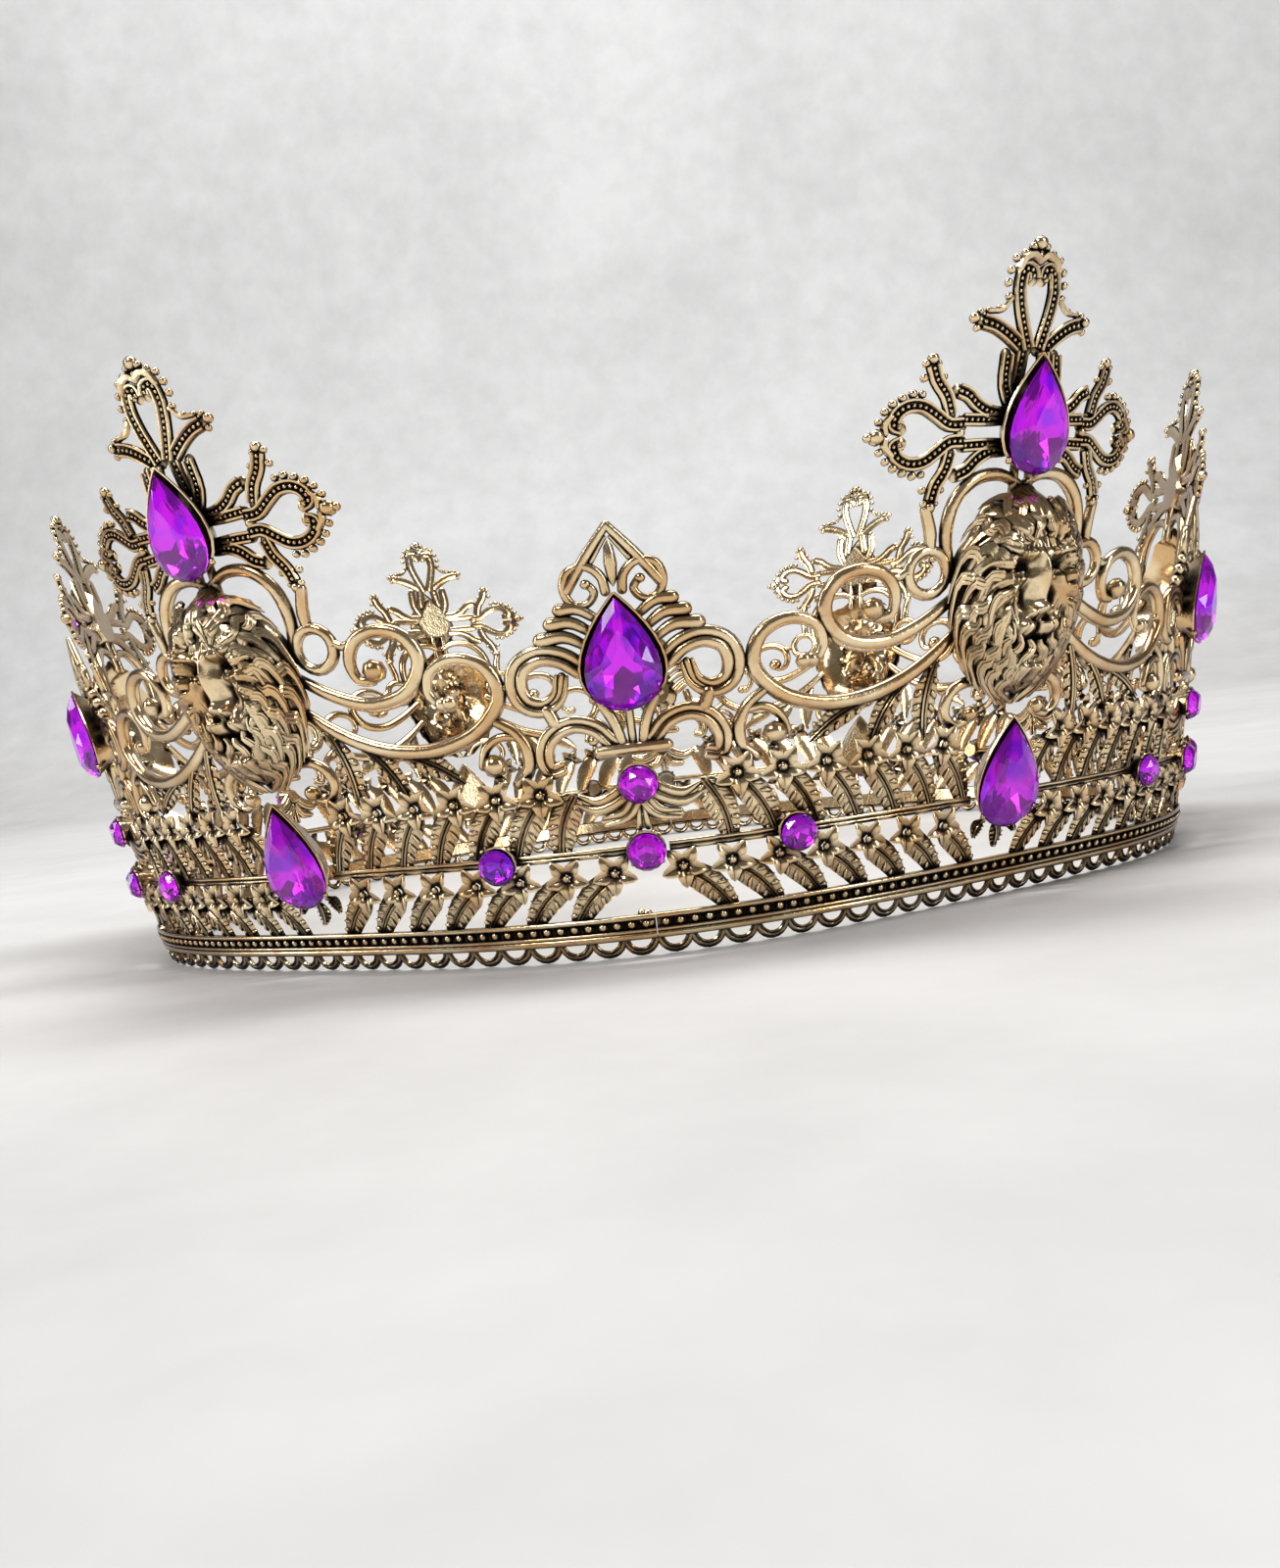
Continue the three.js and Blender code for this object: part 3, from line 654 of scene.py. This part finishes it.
stoneCut = {  # share of the outline, depth over the stone's back, corners, half a step turned or not
    "pear": [(0.56, 3.2, 8, 0), (0.83, 2.5, 16, 0.5), (1.0, 1.5, 24, 0), (1.0, 1.3, 24, 0),
             (0.66, 0.6, 8, 0.5), (0.3, 0.05, 8, 0)],
    "pearCulet": -0.2, "pearHeart": -0.10,
    "round": [(0.58, 2.2, 8, 0), (0.86, 1.7, 8, 0.5), (1.0, 1.05, 16, 0.25), (1.0, 0.9, 16, 0.25),
              (0.55, 0.25, 8, 0.5)],
    "roundCulet": -0.15,
}


def pearPoint(x, y, width, height):  # where a point of a unit circle lies on a drop that stands point up
    swell = pearSwell * math.sqrt((1 - y / (math.hypot(x, y) or 1)) / 2)
    return x * swell * width / 2, y * height / 2


def pearLine(width, height, count=28):
    turns = [2 * math.pi * i / count for i in range(count)]
    return [pearPoint(math.sin(a), math.cos(a), width, height) for a in turns]


def drawSettings(cast):
    lip = setting["lip"]
    for stone in pearStones.values():
        middle = 0.0 if stone["on"] == "lion" else fleurAt
        outline = [(middle + x, stone["up"] + y)
                   for x, y in pearLine(stone["width"] + 2 * lip, stone["height"] + 2 * lip)]
        cast.cup(outline, setting["back"], setting["wall"], lip)
        cast.line(outline + outline[:1], setting["wire"], both=False, steps=1, depth=setting["wall"],
                  corners=6,
                  blunt=False)
        spots = [(0.40 * stone["width"], stone["up"] - 0.40 * stone["height"])]
        cast.balls(spots, setting["prong"], about=middle, depth=setting["wall"] + 0.1)
    for stone in roundStones.values():
        radius = setting["roundRadius"] - setting["roundInset"]
        # the stone right of a fleur belongs to the next casting, so it is drawn at this one's other end
        middle = stone["across"] + (-fleurAt if stone["across"] > 0 else fleurAt)
        outline = [(middle + radius * math.cos(a), stone["up"] + radius * math.sin(a))
                   for a in np.linspace(0, 2 * math.pi, 17)]
        cast.cup(outline[:-1], setting["roundBack"], setting["roundWall"], setting["roundLip"])
        cast.line(outline, setting["roundWire"], both=False, steps=1, depth=setting["roundWall"], corners=6,
                  blunt=False)
        reach = setting["roundRadius"] + 0.08
        spots = [(reach * math.cos(a), reach * math.sin(a) + stone["up"]) for a in setting["prongTurns"]]
        cast.balls(spots, setting["roundProng"], about=middle, both=False, depth=setting["roundWall"] + 0.1)


def cutStone(shape):  # rings of corners pulled into one faceted stone; its underside is foil
    stone = bmesh.new()
    kind = "pear" if "width" in shape else "round"
    for share, high, corners, turned in stoneCut[kind]:
        turn = Matrix.Rotation(2 * math.pi * (turned / corners) + math.pi / 2, 4, "Z")
        bmesh.ops.create_circle(stone, segments=corners, radius=share,
                                matrix=Matrix.Translation((0, 0, high)) @ turn)
    stone.verts.new((0, 0, stoneCut[kind + "Culet"]))
    for vert in stone.verts:
        if kind == "pear":
            share = math.hypot(vert.co.x, vert.co.y)
            x, y = pearPoint(vert.co.x, vert.co.y, shape["width"], shape["height"])
            vert.co.x, vert.co.y = x, y + (1 - share) * stoneCut["pearHeart"] * shape["height"]
        else:
            vert.co.xy *= setting["roundRadius"]
    hull = bmesh.ops.convex_hull(stone, input=stone.verts[:])
    bmesh.ops.delete(stone, geom=list({g for g in hull["geom_interior"] + hull["geom_unused"]
                                       if isinstance(g, bmesh.types.BMVert)}), context="VERTS")
    bmesh.ops.dissolve_limit(stone, angle_limit=0.02, verts=stone.verts, edges=stone.edges)
    bmesh.ops.recalc_face_normals(stone, faces=stone.faces)
    girdleLine = min(high for share, high, _, _ in stoneCut[kind] if share == 1.0)
    for face in stone.faces:
        face.material_index = int(face.calc_center_median().z < girdleLine)
    bmesh.ops.scale(stone, vec=(0.001, 0.001, 0.001), verts=stone.verts)
    return asMesh(stone)


# Materials

class Value:
    # A shader socket that can be reckoned with
    def __init__(self, paint, socket):
        self.paint, self.socket = paint, socket

    def reckon(self, operation, first, second=0.0):
        return self.paint.node("ShaderNodeMath", {"operation": operation}, {0: first, 1: second})

    def __add__(self, other):
        return self.reckon("ADD", self, other)

    def __radd__(self, other):
        return self.reckon("ADD", other, self)

    def __sub__(self, other):
        return self.reckon("SUBTRACT", self, other)

    def __rsub__(self, other):
        return self.reckon("SUBTRACT", other, self)

    def __mul__(self, other):
        return self.reckon("MULTIPLY", self, other)

    def __rmul__(self, other):
        return self.reckon("MULTIPLY", other, self)

    def spread(self, low, high, least=0.0, most=1.0):  # maps low..high onto least..most, held to it
        return self.paint.node("ShaderNodeMapRange", {"clamp": True},
                               {0: self, 1: low, 2: high, 3: least, 4: most})


class Paint:
    def __init__(self, name):
        self.material = bpy.data.materials.new(name)
        self.material.use_nodes = True
        self.tree = self.material.node_tree
        self.tree.nodes.clear()

    def node(self, kind, settings=None, sockets=None, out=0):
        made = self.tree.nodes.new(kind)
        for key, value in (settings or {}).items():
            setattr(made, key, value)
        for key, value in (sockets or {}).items():
            if isinstance(value, Value):
                self.tree.links.new(value.socket, made.inputs[key])
            else:
                made.inputs[key].default_value = value
        return Value(self, made.outputs[out]) if made.outputs else None

    def mix(self, share, first, second):
        return self.node("ShaderNodeMix", {"data_type": "RGBA"}, {0: share, 6: first, 7: second}, out=2)

    def noise(self, size, detail=3.0, rough=0.5):  # size is in mm
        place = self.node("ShaderNodeTexCoord", out=3)
        return self.node("ShaderNodeTexNoise", {},
                         {"Vector": place, "Scale": 1000.0 / size, "Detail": detail, "Roughness": rough})

    def corners(self, reach):  # dark in corners, reach is in m
        return self.node("ShaderNodeAmbientOcclusion", {"samples": 6}, {"Distance": reach}, out=1)

    def surface(self, sockets):
        shader = self.node("ShaderNodeBsdfPrincipled", {}, sockets)
        self.node("ShaderNodeOutputMaterial", {}, {"Surface": shader})
        return self.material


antiqueGold = {
    "champagne": (0.94, 0.76, 0.48, 1), "bronze": (0.74, 0.49, 0.24, 1), "copper": (0.58, 0.27, 0.14, 1),
    "umber": (0.16, 0.085, 0.045, 1), "black": (0.010, 0.007, 0.005, 1),
    "tightCorner": 0.0010, "wideCorner": 0.0034,
}


def goldPaint():
    paint = Paint("antique gold")
    tight = paint.corners(antiqueGold["tightCorner"])
    wide = paint.corners(antiqueGold["wideCorner"])
    cloud = paint.noise(9.0)
    speck = paint.noise(0.7, 4.0, 0.6)
    # Black in hollows, creases, between parts and under the stones, taken from the corner darkness: partly
    # the casting's own patina, partly painted shade; it also dulls and roughens the metal there
    shade = (1 - tight) * 0.75 + (1 - wide) * 0.75 + (speck - 0.5) * 0.35
    tarnishAndShade = shade.spread(0.22, 0.42)
    warm = paint.mix(cloud.spread(0.42, 0.62), antiqueGold["champagne"], antiqueGold["bronze"])
    warm = paint.mix(paint.noise(4.0).spread(0.56, 0.74, 0.0, 0.55), warm, antiqueGold["copper"])
    # Painted shade: where the surface turns away from the view, on the sides of rods and bumps, the gold is
    # darkened towards umber
    turned = paint.node("ShaderNodeLayerWeight", {}, {"Blend": 0.5}, out=1)
    color = paint.mix(turned.spread(0.34, 0.78, 0.0, 0.88), warm, antiqueGold["umber"])
    color = paint.mix(tarnishAndShade, color, antiqueGold["black"])
    rough = 0.13 + speck * 0.10 + tarnishAndShade * 0.3
    pits = paint.noise(0.45, 3.0, 0.6)
    dents = paint.noise(1.8, 2.0)
    bump = paint.node("ShaderNodeBump", {},
                      {"Height": pits * 0.6 + dents * 0.8, "Strength": 0.35, "Distance": 0.00012})
    return paint.surface({"Base Color": color, "Metallic": 1 - tarnishAndShade * 0.2, "Roughness": rough,
                          "Normal": bump})


violetStone = {
    "glass": (0.95, 0.50, 1.0, 1), "magenta": (0.74, 0.03, 0.95, 1), "blue": (0.38, 0.02, 0.92, 1),
    "smear": 0.03, "bending": 1.54, "paintedGlow": 0.07,
}


def glassPaint():
    paint = Paint("violet glass")
    smear = paint.noise(3.0)
    return paint.surface({"Base Color": violetStone["glass"], "Roughness": smear * violetStone["smear"],
                          "IOR": violetStone["bending"], "Transmission Weight": 1.0})


def foilPaint():
    paint = Paint("violet foil")
    patch = paint.noise(3.2, 1.0)
    color = paint.mix(patch.spread(0.50, 0.66), violetStone["magenta"], violetStone["blue"])
    # The foil also glows faintly in its own colour: painted light, for the foil is no lamp
    return paint.surface({"Base Color": color, "Metallic": 1.0, "Roughness": 0.10 + patch * 0.06,
                          "Emission Color": color, "Emission Strength": violetStone["paintedGlow"]})


gold, glass, foil = goldPaint(), glassPaint(), foilPaint()
print("materials made")


def addPiece(name, mesh, materials, node):
    piece = bpy.data.objects.new(name, mesh)
    bpy.context.scene.collection.objects.link(piece)
    for material in materials:
        piece.data.materials.append(material)
    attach(piece, "root")
    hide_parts(node)


drawing = Drawing()
for draw in (drawGirdle, drawLeaves, drawLionScrolls, drawCross, drawFleur, drawLion, drawSettings):
    draw(drawing)
flatCasting = drawing.mesh()
flatCasting.shade_smooth()
flatCasting.set_sharp_from_angle(angle=math.radians(48))
flatSpots = np.empty(len(flatCasting.vertices) * 3)
flatCasting.vertices.foreach_get("co", flatSpots)
print("casting drawn:", sum(len(p.vertices) - 2 for p in flatCasting.polygons), "triangles")

for number in range(1, crownShape["panels"] + 1):
    middles = {"lion": (number - 1.5) * sector, "fleur": (number - 1) * sector}
    bent = flatCasting.copy()
    bent.vertices.foreach_set("co", onCrown(flatSpots, middles["lion"]).ravel())
    bent.update()
    addPiece(f"casting_{number}", bent, [gold], f"panel_{number}")
    for name, shape in {**pearStones, **roundStones}.items():
        middle = middles[shape.get("on", "fleur")]
        mesh = cutStone(shape)
        mesh.transform(seatOn(shape.get("across", 0.0), shape["up"], setting["seat"], middle))
        addPiece(f"cut_{name}_{number}", mesh, [glass, foil], f"{name}_{number}")
print("castings bent round, stones set")

# The studio

studio = {
    "wall": (0.66, 0.665, 0.665, 1), "floor": (0.60, 0.59, 0.58, 1),
    "sweep": {"width": 8.0, "near": -3.0, "bend": 1.1, "radius": 0.6, "top": 3.5, "steps": 48},
    "sky": (0.13, 0.125, 0.12, 1),
    "lamps": [  # name, place, aim, width, height, power
        ("key", (-0.60, -0.80, 0.90), (0, 0, 0.04), 0.35, 0.30, 7.5),
        ("fill", (0.95, -0.70, 0.45), (0, 0, 0.04), 0.16, 0.8, 3.5),
        ("left strip", (-1.0, -0.15, 0.35), (0, 0, 0.04), 0.16, 0.8, 2.5),
        ("top", (0.1, 0.15, 1.3), (0, 0, 0.04), 1.0, 0.4, 8.0),
        ("wall wash", (0.0, 0.35, 1.9), (0, 1.6, 0.4), 2.4, 0.5, 40.0),
    ],
}


def plasterPaint():
    paint = Paint("pale plaster")
    height = paint.node("ShaderNodeSeparateXYZ", {}, {0: paint.node("ShaderNodeTexCoord", out=3)}, out=2)
    mottle = paint.noise(260, 5.0, 0.6)
    streak = paint.noise(30, 4.0, 0.6)
    tone = paint.mix(height.spread(0.0, 0.12), studio["floor"], studio["wall"])
    shade = (mottle * 0.6 + streak * 0.4).spread(0.36, 0.64, 0.80, 0.98)
    tone = paint.node("ShaderNodeVectorMath", {"operation": "SCALE"}, {0: tone, "Scale": shade})
    bump = paint.node("ShaderNodeBump", {}, {"Height": streak, "Strength": 0.2, "Distance": 0.0005})
    return paint.surface({"Base Color": tone, "Roughness": 0.55 + mottle * 0.2, "Normal": bump})


def makeStudio():
    shape = studio["sweep"]
    sweep = bmesh.new()
    bmesh.ops.create_grid(sweep, x_segments=1, y_segments=shape["steps"], size=0.5)
    length = shape["bend"] - shape["near"] + math.pi / 2 * shape["radius"] + shape["top"]
    for vert in sweep.verts:  # flat, then a quarter turn, then upright
        run = (vert.co.y + 0.5) * length + shape["near"] - shape["bend"]
        turn = min(max(run / shape["radius"], 0.0), math.pi / 2)
        vert.co.x *= shape["width"]
        vert.co.y = shape["bend"] + min(run, 0.0) + shape["radius"] * math.sin(turn)
        vert.co.z = shape["radius"] * (1 - math.cos(turn)) + max(run - math.pi / 2 * shape["radius"], 0.0)
    backdrop = bpy.data.objects.new("backdrop", asMesh(sweep))
    backdrop.data.shade_smooth()
    bpy.context.scene.collection.objects.link(backdrop)
    backdrop.data.materials.append(plasterPaint())
    for name, place, aim, width, height, power in studio["lamps"]:
        lamp = bpy.data.lights.new(name, "AREA")
        lamp.shape, lamp.size, lamp.size_y, lamp.energy = "RECTANGLE", width, height, power
        holder = bpy.data.objects.new(name, lamp)
        turn = (Vector(aim) - Vector(place)).to_track_quat("-Z", "Y").to_matrix().to_4x4()
        holder.matrix_world = Matrix.Translation(place) @ turn
        bpy.context.scene.collection.objects.link(holder)
    world = bpy.data.worlds.new("studio")
    world.use_nodes = True
    world.node_tree.nodes["Background"].inputs[0].default_value = studio["sky"]
    bpy.context.scene.world = world
    bpy.context.scene.view_settings.view_transform = "Standard"


makeStudio()

# The camera stands low in front of the fleur and is rolled a little

view = {"place": (0.0065, -0.2777, 0.0290), "pitch": 2.39, "yaw": 2.02, "roll": -6.86, "lens": 34.07}


def makeCamera():
    turn = (Matrix.Rotation(math.radians(view["roll"]), 3, "Z")
            @ Matrix.Rotation(math.radians(view["yaw"]), 3, "Y")
            @ Matrix.Rotation(math.radians(view["pitch"]), 3, "X"))
    right, down, ahead = turn @ Matrix(((1, 0, 0), (0, 0, -1), (0, 1, 0)))
    camera = bpy.data.objects.new("camera", bpy.data.cameras.new("camera"))
    camera.data.lens, camera.data.sensor_width = view["lens"], 36.0
    camera.data.clip_start, camera.data.clip_end = 0.01, 50
    facing = Matrix((right, -down, -ahead)).transposed().to_4x4()
    camera.matrix_world = Matrix.Translation(view["place"]) @ facing
    bpy.context.scene.collection.objects.link(camera)
    bpy.context.scene.camera = camera


makeCamera()
print("studio and camera ready")
